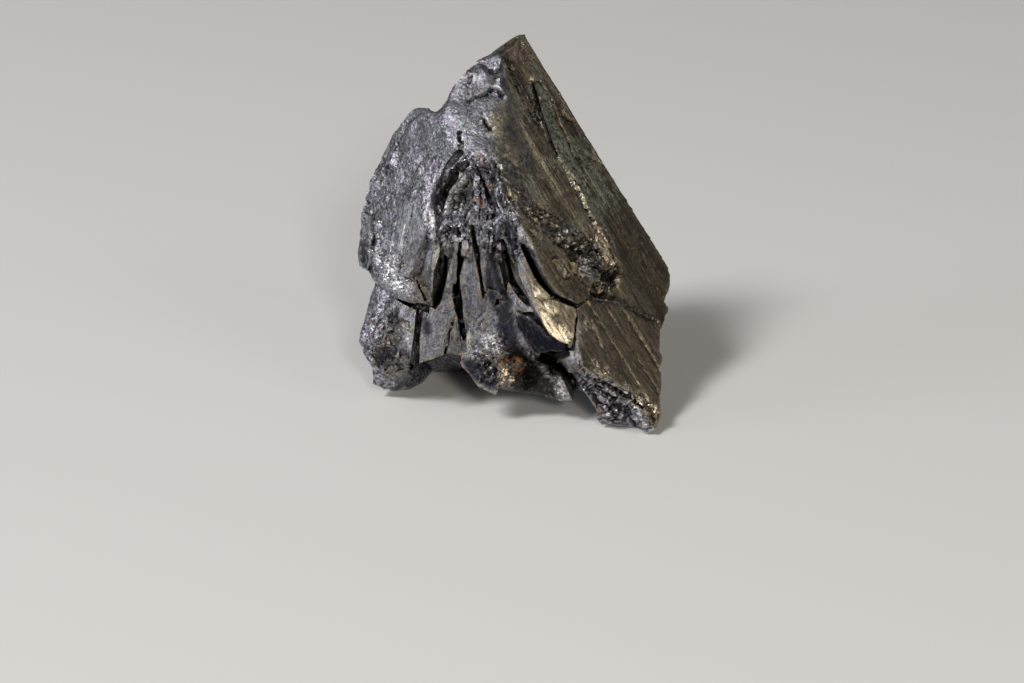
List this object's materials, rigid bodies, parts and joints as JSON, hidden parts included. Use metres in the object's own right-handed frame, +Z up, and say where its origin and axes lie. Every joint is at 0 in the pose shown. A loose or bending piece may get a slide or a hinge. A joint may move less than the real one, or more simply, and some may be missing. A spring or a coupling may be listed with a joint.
{
  "type": "andorite crystal specimen",
  "caption": "Free-standing hand specimen of andorite: a wedge of striated lead-grey crystals with a granular crown, a hanging lobe and a fan of blades over an arched hollow.",
  "frame": {"origin": "on the ground under the middle of the specimen's bounding box", "axes": "+Z up; -Y towards the viewer who faces the fan of blades; +X to that viewer's right, where the striated face runs down"},
  "size_m": [0.0337, 0.0304, 0.0365],
  "materials": {
    "andorite": "steel-grey metallic crystal, bronze-brown on the striated face, with cream-gold reflections"
  },
  "bodies": {
    "root": {"andorite_cluster": "andorite"}
  },
  "joints": []
}
